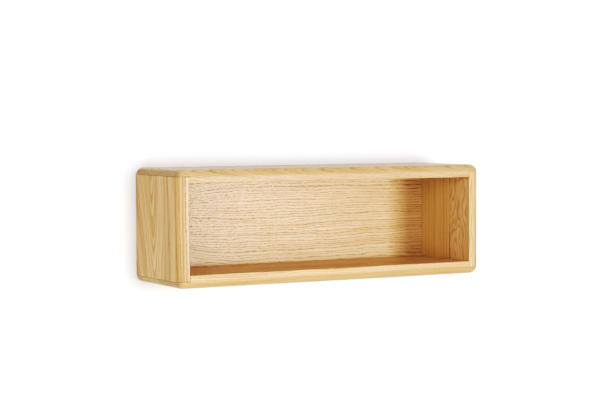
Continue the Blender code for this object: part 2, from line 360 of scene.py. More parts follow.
# Vessels: long thin cells, wide and crowded in the early wood
def openVessels(tree, given, bent, early):
    size = addNode(tree, joinXYZ, {0: given["Pore length"], 1: given["Pore width"], 2: given["Pore width"]})
    cells = addNode(tree, vectorMaths, {0: bent, 1: size}, operation="DIVIDE")
    vessel = addNode(tree, "ShaderNodeTexVoronoi", {"Vector": cells, "Scale": 1})
    more, least = oakDetail["poreReach"]
    reach = addNode(tree, maths, {0: early, 1: more, 2: least}, operation="MULTIPLY_ADD")
    outside = addNode(tree, maths, {0: reach, 1: oakDetail["poreEdge"]}, operation="ADD")
    inside = addNode(tree, maths, {0: reach, 1: oakDetail["poreEdge"]}, operation="SUBTRACT")
    return addNode(
        tree, mapRange,
        {"Value": vessel.outputs["Distance"], "From Min": outside, "From Max": inside},
        interpolation_type="SMOOTHSTEP",
    )


# The ground between the pores: pale and gold in bands, in whole years and in broad patches
def groundColour(tree, given, bent, rings, early):
    cells = addNode(tree, vectorMaths, {0: bent, 1: oakDetail["patchSize"]}, operation="DIVIDE")
    patch = addNode(tree, noise, {"Vector": cells, "Scale": 1, "Detail": 2})
    shift = addNode(tree, maths, {0: patch, 1: oakDetail["patchShift"]}, operation="ADD")
    yearPlace = addNode(tree, maths, {0: rings, 1: oakDetail["toneCells"]}, operation="MULTIPLY")
    tone = addNode(tree, noise, {"W": yearPlace, "Scale": 1, "Detail": 1}, noise_dimensions="1D")
    centred = addNode(tree, maths, {0: tone, 1: 0.5}, operation="SUBTRACT")
    fromMean = addNode(tree, maths, {0: centred, 1: oakDetail["toneReach"]}, operation="MULTIPLY")
    shift = addNode(tree, maths, {0: fromMean, 1: given["Year tone"], 2: shift}, operation="MULTIPLY_ADD")
    banded = addNode(tree, maths, {0: early, 1: given["Bands"]}, operation="MULTIPLY")
    golden = addNode(tree, maths, {0: banded, 1: shift}, operation="ADD", use_clamp=True)
    return addNode(tree, mix, {0: golden, 6: given["Pale"], 7: given["Gold"]}, data_type="RGBA").outputs[2]


# The figure of the wood round a pith on the X axis, in millimetres
def oakFigureGroup():
    tree = bpy.data.node_groups.new("oakFigure", "ShaderNodeTree")
    face = tree.interface
    face.new_socket("Place", in_out="INPUT", socket_type="NodeSocketVector")
    for socketName, usual in growthSockets.values():
        face.new_socket(socketName, in_out="INPUT", socket_type="NodeSocketFloat").default_value = usual
    for key in oakColours:
        colourSocket = face.new_socket(key.capitalize(), in_out="INPUT", socket_type="NodeSocketColor")
        colourSocket.default_value = hexColour(oak[key])
    face.new_socket("Colour", in_out="OUTPUT", socket_type="NodeSocketColor")
    for socketName in ("Height", "Open"):
        face.new_socket(socketName, in_out="OUTPUT", socket_type="NodeSocketFloat")
    given = addNode(tree, "NodeGroupInput").outputs

    bent = bentPlace(tree, given)
    along = addNode(tree, splitXYZ, {0: bent}).outputs["X"]
    rings = ringCount(tree, given, bent, along)
    yearPlace = addNode(tree, maths, {0: rings, 1: oakDetail["yearCells"]}, operation="MULTIPLY")
    years = addNode(tree, noise, {"W": yearPlace, "Scale": 1, "Detail": 1}, noise_dimensions="1D")
    spread = addNode(tree, maths, {0: years, 1: oakDetail["yearSpread"]}, operation="MULTIPLY")
    uneven = addNode(tree, maths, {0: rings, 1: spread}, operation="ADD")
    phase = addNode(tree, maths, {0: uneven}, operation="FRACT")
    year = addNode(tree, maths, {0: uneven}, operation="FLOOR")
    early = earlyWood(tree, phase)
    dashed = dashedRows(tree, given, phase, year, along)
    pores = openVessels(tree, given, bent, early)
    ground = groundColour(tree, given, bent, rings, early)

    cells = addNode(tree, vectorMaths, {0: bent, 1: oakDetail["fibreSize"]}, operation="DIVIDE")
    fibre = addNode(tree, noise, {"Vector": cells, "Scale": 1, "Detail": 2})
    contrast, darkest = oakDetail["fibreTone"]
    fibreTone = addNode(tree, maths, {0: fibre, 1: contrast, 2: darkest}, operation="MULTIPLY_ADD")
    fibred = addNode(tree, vectorMaths, {0: ground, "Scale": fibreTone}, operation="SCALE")
    poreShare = addNode(tree, maths, {0: pores, 1: given["Pores"]}, operation="MULTIPLY")
    dark = addNode(tree, maths, {0: dashed, 1: given["Dashes"], 2: poreShare}, operation="MULTIPLY_ADD")
    colour = addNode(tree, mix, {0: dark, 6: fibred, 7: given["Pore"]}, data_type="RGBA").outputs[2]
    solid = addNode(tree, maths, {0: 1.0, 1: pores}, operation="SUBTRACT")
    height = addNode(tree, maths, {0: fibre, 1: oakDetail["fibreHeight"], 2: solid}, operation="MULTIPLY_ADD")
    addNode(tree, "NodeGroupOutput", {"Colour": colour, "Height": height, "Open": pores})
    return tree


oakFigure = oakFigureGroup()


# The rows spread apart from one end of the panel to the other
def fannedPlace(tree, place, coords, fan):
    split = addNode(tree, splitXYZ, {0: place})
    here = addNode(tree, splitXYZ, {0: coords.outputs["Object"]})
    spread = addNode(
        tree, mapRange,
        {"Value": here.outputs["X"], "From Min": fan["from"], "From Max": fan["to"], "To Min": fan["least"]},
        interpolation_type="SMOOTHSTEP",
    )
    risen = addNode(tree, maths, {0: split.outputs["Z"], 1: fan["rise"]}, operation="SUBTRACT")
    fanned = addNode(tree, maths, {0: risen, 1: spread}, operation="DIVIDE")
    back = addNode(tree, maths, {0: fanned, 1: fan["rise"]}, operation="ADD")
    return addNode(tree, joinXYZ, {0: split.outputs["X"], 1: split.outputs["Y"], 2: back})


# One stave: its pith is brought onto the X axis, in millimetres, and the figure is drawn round it
def staveFigure(tree, coords, grain, stave):
    pith = [millimetresInAMetre * value for value in stave["pith"]]
    lean = math.radians(stave.get("lean", 0))
    if grain == "x":
        turn, shift = (0, 0, lean), (stave["start"], -pith[0], -pith[1])
    else:
        turn, shift = (0, math.pi / 2, lean), (stave["start"], -pith[1], pith[0])
    place = addNode(
        tree, "ShaderNodeMapping",
        {
            "Vector": coords.outputs["Object"], "Location": shift, "Rotation": turn,
            "Scale": [millimetresInAMetre] * 3,
        },
    )
    if "fan" in stave:
        place = fannedPlace(tree, place, coords, stave["fan"])
    growth = {growthSockets[key][0]: value for key, value in stave.items() if key in growthSockets}
    colours = {key.capitalize(): hexColour(stave[key]) for key in oakColours if key in stave}
    return addNode(tree, "ShaderNodeGroup", {"Place": place, **growth, **colours}, node_tree=oakFigure)


# Two staves side by side, with a thin dark glue line between them
def gluedStaves(tree, coords, grain, rear, front, glue):
    split = addNode(tree, splitXYZ, {0: coords.outputs["Object"]})
    inFront = addNode(tree, maths, {0: split.outputs["Y"], 1: glue["y"]}, operation="LESS_THAN")
    colour = addNode(
        tree, mix, {0: inFront, 6: rear.outputs["Colour"], 7: front.outputs["Colour"]}, data_type="RGBA"
    ).outputs[2]
    height = addNode(tree, mix, {0: inFront, 2: rear.outputs["Height"], 3: front.outputs["Height"]})
    openPores = addNode(tree, mix, {0: inFront, 2: rear.outputs["Open"], 3: front.outputs["Open"]})
    fromGlue = addNode(tree, maths, {0: split.outputs["Y"], 1: glue["y"]}, operation="SUBTRACT")
    away = addNode(tree, maths, {0: fromGlue}, operation="ABSOLUTE")
    line = addNode(
        tree, mapRange,
        {
            "Value": away, "From Min": oak["glueCore"], "From Max": glue["width"],
            "To Min": glue["strength"], "To Max": 0.0,
        },
    )
    # the line is darker in some stretches than in others
    lengthwise = split.outputs[grain.upper()]
    stretch = addNode(tree, maths, {0: lengthwise, 1: glue["start"]}, operation="ADD")
    uneven = addNode(
        tree, noise, {"W": stretch, "Scale": oak["glueCells"], "Detail": 1}, noise_dimensions="1D"
    )
    palest, darkest = oak["glueNoise"]
    least, most = oak["glueShade"]
    shade = addNode(
        tree, mapRange,
        {"Value": uneven, "From Min": palest, "From Max": darkest, "To Min": least, "To Max": most},
    )
    line = addNode(tree, maths, {0: line, 1: shade}, operation="MULTIPLY")
    glued = addNode(tree, mix, {0: line, 6: colour, 7: hexColour(oak["glueLine"])}, data_type="RGBA")
    return glued.outputs[2], height, openPores


# Oak of one stave or two, with its grain along X or Z
def oakMaterial(name, grain, staves, glue=None, sheen=oak["roughness"], polish=0.0):
    material, tree = newMaterial(name)
    coords = addNode(tree, "ShaderNodeTexCoord")
    figures = [staveFigure(tree, coords, grain, stave) for stave in staves]
    if len(figures) == 2:
        colour, height, openPores = gluedStaves(tree, coords, grain, *figures, glue)
    else:
        colour, height, openPores = (figures[0].outputs[key] for key in ("Colour", "Height", "Open"))
    # end grain drinks more oil, so it is darker and evener
    facing = addNode(tree, splitXYZ, {0: coords.outputs["Normal"]})
    endAxis = addNode(tree, maths, {0: facing.outputs[grain.upper()]}, operation="ABSOLUTE")
    sideGrain, endGrain = oak["endFacing"]
    endShare = addNode(
        tree, mapRange,
        {"Value": endAxis, "From Min": sideGrain, "From Max": endGrain, "To Max": oak["endShare"]},
        interpolation_type="SMOOTHSTEP",
    )
    colour = addNode(
        tree, mix, {0: endShare, 6: colour, 7: hexColour(oak["endGrain"])}, data_type="RGBA"
    ).outputs[2]
    roughness = addNode(
        tree, maths, {0: openPores, 1: oak["poreRoughness"], 2: sheen}, operation="MULTIPLY_ADD"
    )
    roughness = addNode(
        tree, maths, {0: endShare, 1: oak["endRoughness"], 2: roughness}, operation="MULTIPLY_ADD"
    )
    if polish:
        # the level top is wiped often, so it is smoother than the rounded edges
        edge, level = oak["levelFacing"]
        wiped = addNode(
            tree, mapRange,
            {"Value": facing.outputs["Z"], "From Min": edge, "From Max": level, "To Max": polish},
        )
        roughness = addNode(tree, maths, {0: roughness, 1: wiped}, operation="SUBTRACT")
    bump = addNode(
        tree, "ShaderNodeBump",
        {"Strength": oak["bumpStrength"], "Distance": oak["bumpDepth"], "Height": height},
    )
    shader = addNode(
        tree, "ShaderNodeBsdfPrincipled",
        {"Base Color": colour, "Roughness": roughness, "Normal": bump, "IOR": oak["ior"]},
    )
    addNode(tree, "ShaderNodeOutputMaterial", {"Surface": shader})
    return material


# Beech
# Turned, unfinished steamed beech. It gives the eye a plain pinkish ground with fine short flecks.

beech = {
    "pale": "#D3AA82",
    "dark": "#B98A60",
    "fleck": "#9C6C45",
    "roughness": 0.7,
    "grainCells": (60, 1100, 1100),     # shades to the metre, along and across the dowel
    "rayCells": (500, 2800, 2800),      # rays show as flecks about 2 mm long and 0.3 mm wide
    "rayEdge": (0.32, 0.16),            # where a fleck begins, and where it is full
    "rayStrength": 0.6,
    "bumpStrength": 0.3,
    "bumpDepth": 0.0001,
}


def beechMaterial():
    material, tree = newMaterial("turnedBeech")
    coords = addNode(tree, "ShaderNodeTexCoord")
    grain, rays = (
        addNode(tree, "ShaderNodeMapping", {"Vector": coords.outputs["Object"], "Scale": beech[key]})
        for key in ("grainCells", "rayCells")
    )
    shade = addNode(tree, noise, {"Vector": grain, "Scale": 1, "Detail": 2})
    ground = addNode(
        tree, mix, {0: shade, 6: hexColour(beech["pale"]), 7: hexColour(beech["dark"])}, data_type="RGBA"
    )
    fleck = addNode(tree, "ShaderNodeTexVoronoi", {"Vector": rays, "Scale": 1})
    begins, full = beech["rayEdge"]
    share = addNode(
        tree, mapRange,
        {
            "Value": fleck.outputs["Distance"], "From Min": begins, "From Max": full,
            "To Max": beech["rayStrength"],
        },
    )
    flecked = addNode(
        tree, mix, {0: share, 6: ground.outputs[2], 7: hexColour(beech["fleck"])}, data_type="RGBA"
    )
    bump = addNode(
        tree, "ShaderNodeBump",
        {"Strength": beech["bumpStrength"], "Distance": beech["bumpDepth"], "Height": shade},
    )
    shader = addNode(
        tree, "ShaderNodeBsdfPrincipled",
        {"Base Color": flecked.outputs[2], "Roughness": beech["roughness"], "Normal": bump},
    )
    addNode(tree, "ShaderNodeOutputMaterial", {"Surface": shader})
    return material


# Zinc-plated steel
# Pressed steel with bright zinc plating. It gives the eye a pale bluish metal with faint cloudy
# patches and fine scratches.

zinc = {
    "bright": "#C6CBD0",
    "cloudy": "#A9B0B6",
    "roughness": 0.3,
    "cloudRoughness": 0.16,
    "cloudCells": 250,                  # to the metre, so clouds of about 4 mm
    "scratchCells": (9000, 9000, 200),  # scratches about 0.1 mm wide and 5 mm long
    "bumpStrength": 0.15,
    "bumpDepth": 0.00005,
}


def zincMaterial():
    material, tree = newMaterial("zincPlatedSteel")
    coords = addNode(tree, "ShaderNodeTexCoord")
    clouds = addNode(
        tree, noise, {"Vector": coords.outputs["Object"], "Scale": zinc["cloudCells"], "Detail": 3}
    )
    lines = addNode(
        tree, "ShaderNodeMapping", {"Vector": coords.outputs["Object"], "Scale": zinc["scratchCells"]}
    )
    scratches = addNode(tree, noise, {"Vector": lines, "Scale": 1, "Detail": 1})
    colour = addNode(
        tree, mix, {0: clouds, 6: hexColour(zinc["bright"]), 7: hexColour(zinc["cloudy"])}, data_type="RGBA"
    )
    roughness = addNode(
        tree, maths, {0: clouds, 1: zinc["cloudRoughness"], 2: zinc["roughness"]}, operation="MULTIPLY_ADD"
    )
    bump = addNode(
        tree, "ShaderNodeBump",
        {"Strength": zinc["bumpStrength"], "Distance": zinc["bumpDepth"], "Height": scratches},
    )
    shader = addNode(
        tree, "ShaderNodeBsdfPrincipled",
        {"Base Color": colour.outputs[2], "Roughness": roughness, "Normal": bump, "Metallic": 1},
    )
    addNode(tree, "ShaderNodeOutputMaterial", {"Surface": shader})
    return material


turnedBeech = beechMaterial()
zincPlatedSteel = zincMaterial()


# Dowels: fluted, with chamfered ends

dowel = {
    "chamfer": 0.0006,
    "flutes": 12,
    "fluteDepth": 0.0002,
    "segments": 48,
    "holeRoom": 0.0003,
    "sharpAngle": 40,
}

dowelNodes = sorted(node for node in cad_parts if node.startswith("dowel"))


def makeDowel(node):
    low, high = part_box(node)
    radius = (high.z - low.z) / 2
    length = high.x - low.x
    start = (low.x, (low.y + high.y) / 2, (low.z + high.z) / 2)
    stations = [
        (0, radius - dowel["chamfer"]), (dowel["chamfer"], radius),
        (length - dowel["chamfer"], radius), (length, radius - dowel["chamfer"]),
    ]
    bm = roundBar(stations, dowel["segments"], start, (1, 0, 0), dowel["flutes"], dowel["fluteDepth"])
    finishPiece(newObject(pieceName(node), bm, turnedBeech), node, dowel["sharpAngle"])


def dowelHole(node):
    low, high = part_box(node)
    room = dowel["holeRoom"]
    start = (low.x - room, (low.y + high.y) / 2, (low.z + high.z) / 2)
    radius = (high.z - low.z) / 2 + room
    return roundBar([(0, radius), (high.x - low.x + 2 * room, radius)], dowel["segments"], start, (1, 0, 0))


# Keyhole hanger plates and their countersunk screws

hanger = {
    "room": 0.0003,             # round the plate in its recess
    "headDiameter": 0.0086,
    "headSegments": 48,
    "neckWidth": 0.0046,
    "neckSteps": 12,
    "travel": 0.009,            # from the middle of the head hole up to the end of the neck
    "endSteps": 16,             # in each quarter of the plate's and the pocket's round ends
    "pocketDepth": 0.005,
    "pocketRoom": 0.0003,
    "overrun": 0.0009,          # how far a cutter runs past the plate
    "edgeRound": 0.00025,
    "edgeRoundSteps": 2,
    "edgeRoundAngle": 50,       # rounds the edges that are sharper than this
    "sharpAngle": 40,
}

screw = {
    "diameter": 0.003,
    "lip": 0.0002,
    "tipLength": 0.0035,
    "tipDiameter": 0.0006,
    "threadPitch": 0.0012,
    "threadHeight": 0.00035,
    "threadFootShare": 0.3,     # half the foot of the ridge, as a share of the pitch
    "threadSteps": 20,          # in a turn
    "crossLength": 0.0034,
    "crossWidth": 0.0008,
    "crossDepth": 0.001,
    "crossFloorShare": 0.6,     # the cross narrows to this share of its size at its floor
    "segments": 32,
    "sharpAngle": 35,
}


def screwStations(node, grown=0.0):
    low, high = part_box(node)
    head = (high.x - low.x) / 2
    shank = screw["diameter"] / 2
    length = high.y - low.y
    coneEnd = screw["lip"] + head - shank
    sideways = grown * (math.sqrt(2) - 1)
    return [
        (-grown, head + grown),
        (screw["lip"] + sideways, head + grown),
        (coneEnd + sideways, shank + grown),
        (length - screw["tipLength"] + sideways, shank + grown),
        (length + grown, screw["tipDiameter"] / 2 + grown),
    ]


def screwStart(node):
    low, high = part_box(node)
    return Vector(((low.x + high.x) / 2, high.y, (low.z + high.z) / 2))


def screwHole(node):
    return roundBar(screwStations(node, hanger["room"]), screw["segments"], screwStart(node), (0, -1, 0))


# A three-sided ridge drawn round the shank in a helix
def threadMesh(node):
    low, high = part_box(node)
    length = high.y - low.y
    root = screw["diameter"] / 2 - screw["threadHeight"]
    crest = screw["diameter"] / 2
    half = screw["threadPitch"] * screw["threadFootShare"]
    first = screw["lip"] + (high.x - low.x) / 2
    turns = int((length - screw["tipLength"] - first) / screw["threadPitch"])
    bm = bmesh.new()
    corners = [(root - half, -half), (crest, 0), (root - half, half)]
    ridge = bm.faces.new([bm.verts.new((r, -(first + half + along), 0)) for r, along in corners])
    steps = screw["threadSteps"] * turns
    bmesh.ops.spin(
        bm, geom=[ridge, *ridge.edges, *ridge.verts], axis=(0, 1, 0), cent=(0, 0, 0), steps=steps,
        dvec=(0, -screw["threadPitch"] * turns / steps, 0), angle=math.tau * turns, use_merge=False,
    )
    bmesh.ops.translate(bm, vec=screwStart(node), verts=bm.verts)
    bmesh.ops.recalc_face_normals(bm, faces=bm.faces)
    return bm


# The two crossing slots of the head, narrower at their floor
def crossCutters(start):
    halfLong, halfWide = screw["crossLength"] / 2, screw["crossWidth"] / 2
    narrow = screw["crossFloorShare"]
    cutters = []
    for halfX, halfZ in ((halfLong, halfWide), (halfWide, halfLong)):
        reach = Vector((halfX, screw["crossDepth"], halfZ))
        slot = boxMesh(start - reach, start + reach)
        floor = [vert for vert in slot.verts if vert.co.y < start.y]
        bmesh.ops.scale(slot, vec=(narrow, 1, narrow), verts=floor, space=Matrix.Translation(-start))
        cutters.append(slot)
    return cutters


def makeScrew(node):
    start = screwStart(node)
    shank = screw["diameter"] / 2
    stations = [
        (along, radius - screw["threadHeight"] if radius == shank else radius)
        for along, radius in screwStations(node)
    ]
    bm = roundBar(stations, screw["segments"], start, (0, -1, 0))
    body = newObject(pieceName(node), bm, zincPlatedSteel)
    carve(body, *crossCutters(start))
    combine(body, threadMesh(node), "UNION")
    # the union leaves slivers where the ridge meets the shank
    cleaned = bmesh.new()
    cleaned.from_mesh(body.data)
    bmesh.ops.remove_doubles(cleaned, verts=cleaned.verts, dist=tiny)
    bmesh.ops.dissolve_degenerate(cleaned, edges=cleaned.edges, dist=tiny)
    cleaned.to_mesh(body.data)
    cleaned.free()
    finishPiece(body, node, screw["sharpAngle"])


def hangerPlaces(sideName):
    low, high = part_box("hanger_" + sideName)
    return low, high, (low.x + high.x) / 2, (low.z + high.z) / 2


def hangerScrews(sideName):
    return ["hanger_screw_" + sideName + "_" + end for end in ("upper", "lower")]


def makeHanger(sideName):
    low, high, x, z = hangerPlaces(sideName)
    radius = (high.x - low.x) / 2
    bm = slotMesh(x, z, radius, high.z - low.z - 2 * radius, low.y, high.y, hanger["endSteps"])
    plate = newObject("hanger" + sideName.capitalize(), bm, zincPlatedSteel)
    nearY, farY = low.y - hanger["overrun"], high.y + hanger["overrun"]
    headRadius = hanger["headDiameter"] / 2
    head = roundBar(
        [(0, headRadius), (farY - nearY, headRadius)], hanger["headSegments"],
        (x, nearY, z - hanger["travel"] / 2), (0, 1, 0),
    )
    neck = slotMesh(x, z, hanger["neckWidth"] / 2, hanger["travel"], nearY, farY, hanger["neckSteps"])
    carve(plate, head, neck, *[screwHole(node) for node in hangerScrews(sideName)])
    rounded = plate.modifiers.new("edgeRound", "BEVEL")
    rounded.width = hanger["edgeRound"]
    rounded.segments = hanger["edgeRoundSteps"]
    rounded.limit_method = "ANGLE"
    rounded.angle_limit = math.radians(hanger["edgeRoundAngle"])
    finishPiece(plate, "hanger_" + sideName, hanger["sharpAngle"])


# Boards

shelf = {
    "outerRadius": 0.012,      # round-over of the front and corner edges
    "outerRadiusSteps": 14,
    "mouthEasing": 0.001,      # small round on the inner front edges
    "mouthEasingSteps": 4,
    "jointGap": 0.0003,
    "grooveDepth": 0.004,
    "overrun": 0.004,          # how far a cutter runs past what it cuts
    "sharpAngle": 30,
}

lapRise = sideHigh.z + shelf["jointGap"] - middleZ


def cutAway(bm, point, normal):
    cut = bmesh.ops.bisect_plane(
        bm,
        geom=bm.verts[:] + bm.edges[:] + bm.faces[:],
        dist=tiny / 10,
        plane_co=point,
        plane_no=normal,
        clear_outer=True,
    )
    rim = [part for part in cut["geom_cut"] if isinstance(part, bmesh.types.BMEdge)]
    bmesh.ops.holes_fill(bm, edges=rim, sides=0)


# The outside of the glued-up box, rounded over everywhere but at the rear
def roundedOutside():
    bm = boxMesh(cadLow, cadHigh + Vector((0, shelf["overrun"], 0)))
    rear = max(vert.co.y for vert in bm.verts)
    rounded = [edge for edge in bm.edges if min(vert.co.y for vert in edge.verts) < rear - tiny]
    bmesh.ops.bevel(
        bm, geom=rounded, offset=shelf["outerRadius"], offset_type="OFFSET", affect="EDGES",
        segments=shelf["outerRadiusSteps"], profile=0.5, material=-1,
    )
    return bm


# The mouth's rectangle, widening in a quarter round to the front
def mouthCutter():
    easing = shelf["mouthEasing"]
    steps = shelf["mouthEasingSteps"]
    bm = bmesh.new()
    turns = [math.pi / 2 * step / steps for step in range(steps + 1)]
    layers = [(0, shelf["overrun"])]
    layers += [(easing * (1 - math.cos(turn)), easing * (1 - math.sin(turn))) for turn in turns]
    layers += [(easing, -shelf["overrun"])]
    corners = [(-1, -1), (1, -1), (1, 1), (-1, 1)]
    rings = []
    for wider, depth in layers:
        verts = [
            bm.verts.new((x * (innerX + wider), cadLow.y + depth, middleZ + z * (innerRise + wider)))
            for x, z in corners
        ]
        rings.append([bm.edges.new((verts[i - 1], verts[i])) for i in range(4)])
    for inner, outer in zip(rings, rings[1:]):
        bmesh.ops.bridge_loops(bm, edges=inner + outer)
    bmesh.ops.holes_fill(bm, edges=bm.edges, sides=0)
    bmesh.ops.recalc_face_normals(bm, faces=bm.faces)
    return bm


# The recess for a hanger plate, the pocket behind it and the holes of its screws
def hangerCutters(sideName):
    low, high, x, z = hangerPlaces(sideName)
    rearY = low.y - hanger["room"]
    farY = high.y + shelf["overrun"]
    radius = (high.x - low.x) / 2
    spacing = high.z - low.z - 2 * radius
    recess = slotMesh(x, z, radius + hanger["room"], spacing, rearY, farY, hanger["endSteps"])
    pocketRadius = hanger["headDiameter"] / 2 + hanger["pocketRoom"]
    pocketY = rearY - hanger["pocketDepth"]
    pocket = slotMesh(x, z, pocketRadius, hanger["travel"], pocketY, farY, hanger["endSteps"])
    return [recess, pocket, *[screwHole(node) for node in hangerScrews(sideName)]]


def longBoard(levelName, material):
    level = levels[levelName]
    over = shelf["overrun"]
    gap = shelf["jointGap"]
    bm = roundedOutside()
    cutAway(bm, (0, 0, 0), (0, 1, 0))
    cutAway(bm, (0, 0, middleZ + level * innerRise), (0, 0, -level))
    board = newObject(levelName + "Board", bm, material)
    for side in sides.values():
        carve(board, mirroredBox(
            (innerX - gap, outerX + over), (cadLow.y - over, over), (innerRise - over, lapRise), side, level
        ))
    carve(board, mirroredBox(
        (-innerX - over, innerX + over), (panelLow.y - gap, panelHigh.y + gap),
        (innerRise - over, innerRise + shelf["grooveDepth"]), 1, level
    ))
    carve(board, mouthCutter(), *[dowelHole(node) for node in dowelNodes if levelName in node])
    finishPiece(board, levelName + "_board", shelf["sharpAngle"])


def sideBoard(sideName, material):
    side = sides[sideName]
    over = shelf["overrun"]
    gap = shelf["jointGap"]
    endRise = lapRise - gap
    bm = roundedOutside()
    cutAway(bm, (0, 0, 0), (0, 1, 0))
    cutAway(bm, (side * innerX, 0, 0), (-side, 0, 0))
    cutAway(bm, (0, 0, middleZ + endRise), (0, 0, 1))
    cutAway(bm, (0, 0, middleZ - endRise), (0, 0, -1))
    board = newObject(sideName + "Side", bm, material)
    carve(board, mirroredBox(
        (innerX - over, innerX + shelf["grooveDepth"]), (panelLow.y - gap, panelHigh.y + gap),
        (-outerRise, outerRise), side
    ))
    carve(board, mouthCutter(), *[dowelHole(node) for node in dowelNodes if sideName in node])
    carve(board, *hangerCutters(sideName))
    finishPiece(board, sideName + "_side", shelf["sharpAngle"])


def backPanel(material):
    panel = newObject("backPanel", boxMesh(panelLow, panelHigh), material)
    finishPiece(panel, "back_panel", shelf["sharpAngle"])


thinGlue = {"width": 0.0009, "strength": 0.35, "start": 0.0}    # in all boards but the right side

# How the wood of each board grew, the rear stave first. A stave's pith lies at (Y, Z) where its grain
# runs along X and at (X, Y) where it runs along Z, in metres. Its start slides the figure along the
# grain, in millimetres, and a glue line's start slides its darker stretches, in metres.
boardWood = {
    "left": {
        "name": "oiledOakLeft", "grain": "z",
        "glue": {"y": -0.090, **thinGlue},
        "staves": [
            {
                "pith": (-0.259, -0.052), "start": 40, "lean": -4,
                "pale": "#CBA982", "gold": "#AE844E",
                "ringWidth": 5.0, "taper": 0.18, "sway": 4, "curl": 1.2, "bands": 0.8, "yearTone": 0.9,
                "dashes": 0.15,
            },
            {
                "pith": (-0.150, -0.135), "start": 310,
                "pale": "#C5A074", "gold": "#9F7640", "pore": "#866038",
                "ringWidth": 4.0, "ringShift": 1.6, "taper": 0.008, "sway": 1.2, "curl": 0.4, "bands": 0.4,
                "yearTone": 0.5, "dashes": 0.7, "dashLength": 60, "rowWidth": 0.12,
            },
        ],
    },
    "right": {
        "name": "oiledOakRight", "grain": "z",
        "glue": {"y": -0.088, "width": 0.0016, "strength": 0.6, "start": 3.8},
        "staves": [
            {
                "pith": (0.240, 0.120), "start": 90,
                "pale": "#D3B584", "gold": "#C29C5E",
                "ringWidth": 3.5, "taper": 0.004, "sway": 2, "curl": 0.5, "bands": 0.7, "yearTone": 0.7,
                "dashes": 0.35,
            },
            {
                "pith": (0.203, -0.120), "start": 795, "lean": 7,
                "pale": "#D9BA93", "gold": "#B68F52",
                "ringWidth": 2.6, "ringShift": 1.3, "taper": -0.05, "sway": 5, "curl": 2.8, "bands": 0.6,
                "yearTone": 0.2, "dashes": 0.4,
            },
        ],
    },
    "top": {
        "name": "oiledOakTop", "grain": "x",
        "glue": {"y": -0.066, **thinGlue},
        "sheen": 0.42,
        "polish": 0.16,
        "staves": [
            {
                "pith": (-0.020, -0.060), "start": 900,
                "ringWidth": 3.2, "taper": 0.03, "sway": 5, "curl": 1.0, "bands": 0.6, "dashes": 0.3,
            },
            {
                "pith": (-0.095, -0.045), "start": 400,
                "pale": "#CEAB83", "gold": "#B88F5D", "pore": "#8C5C2C",
                "ringWidth": 1.3, "taper": -0.066, "sway": 1.5, "curl": 0.3, "bands": 0.15, "dashes": 0.9,
                "rowWidth": 0.09,
            },
        ],
    },
    "bottom": {
        "name": "oiledOakBottom", "grain": "x",
        "glue": {"y": -0.074, **thinGlue},
        "sheen": 0.36,
        "staves": [
            {
                "pith": (-0.030, -0.090), "start": 30,
                # this stave forms the rear of the compartment's shaded floor; its paler colours are painted
                # light that lifts that floor
                "pale": "#E2C798", "gold": "#D6B57C",
                "ringWidth": 3.0, "taper": 0.02, "sway": 5, "curl": 1.0, "bands": 0.5, "dashes": 0.3,
            },
            {
                "pith": (-0.100, -0.210), "start": 90,
                "pale": "#D4B084", "gold": "#C0955D",
                "ringWidth": 2.8, "taper": 0.01, "sway": 4, "curl": 0.8, "bands": 0.5, "yearTone": 0.7,
                "dashes": 0.3,
            },
        ],
    },
    # the veneer's rows fan out between two places on X, in metres, up and down from the line that lies
    # "rise" millimetres above the pith
    "panel": {
        "name": "oiledOakVeneer", "grain": "x",
        "staves": [
            {
                "pith": (-0.030, -0.400), "start": 130,
                "pale": "#D9B98F", "gold": "#B98F56", "pore": "#94663C",
                "fan": {"from": -0.36, "to": -0.09, "least": 0.25, "rise": 327.5},
                "ringWidth": 4.0, "taper": 0.0, "sway": 6, "curl": 1.8, "bands": 0.36, "yearTone": 0.15,
                "dashes": 0.72, "dashLength": 7.5, "rowWidth": 0.19, "pores": 0.25,
            },
        ],
    },
}

for levelName in levels:
    longBoard(levelName, oakMaterial(**boardWood[levelName]))
for sideName in sides:
    sideBoard(sideName, oakMaterial(**boardWood[sideName]))
backPanel(oakMaterial(**boardWood["panel"]))
print("boards made")
for node in dowelNodes:
    makeDowel(node)
for sideName in sides:
    makeHanger(sideName)
    for node in hangerScrews(sideName):
        makeScrew(node)
print("dowels and hangers made")


# Stage

stage = {
    "wallColour": "#ECEDF0",
    "wallBounce": "#D6D4D2",    # the duller colour that the shelf reflects
    "wallSize": 3.0,
    "wallGap": 0.0002,
    "wallCornerSteps": 16,
    "floorColour": "#E4E2DF",
    "floorZ": -0.9,
    "floorSize": 12,
    "world": 0.24,
}


# Matt paint that shows from the front of a face only; bounce is the colour that other things reflect
def oneSidedPaint(name, colour, bounce):
    material, tree = newMaterial(name)
    path = addNode(tree, "ShaderNodeLightPath").outputs["Is Camera Ray"]
    shown = addNode(tree, mix, {0: path, 6: hexColour(bounce), 7: hexColour(colour)}, data_type="RGBA")
    paint = addNode(tree, "ShaderNodeBsdfDiffuse", {"Color": shown.outputs[2]})
    clear = addNode(tree, "ShaderNodeBsdfTransparent")
    behind = addNode(tree, "ShaderNodeNewGeometry").outputs["Backfacing"]
    mixed = addNode(tree, "ShaderNodeMixShader", {0: behind, 1: paint, 2: clear})
    addNode(tree, "ShaderNodeOutputMaterial", {"Surface": mixed})
    return material


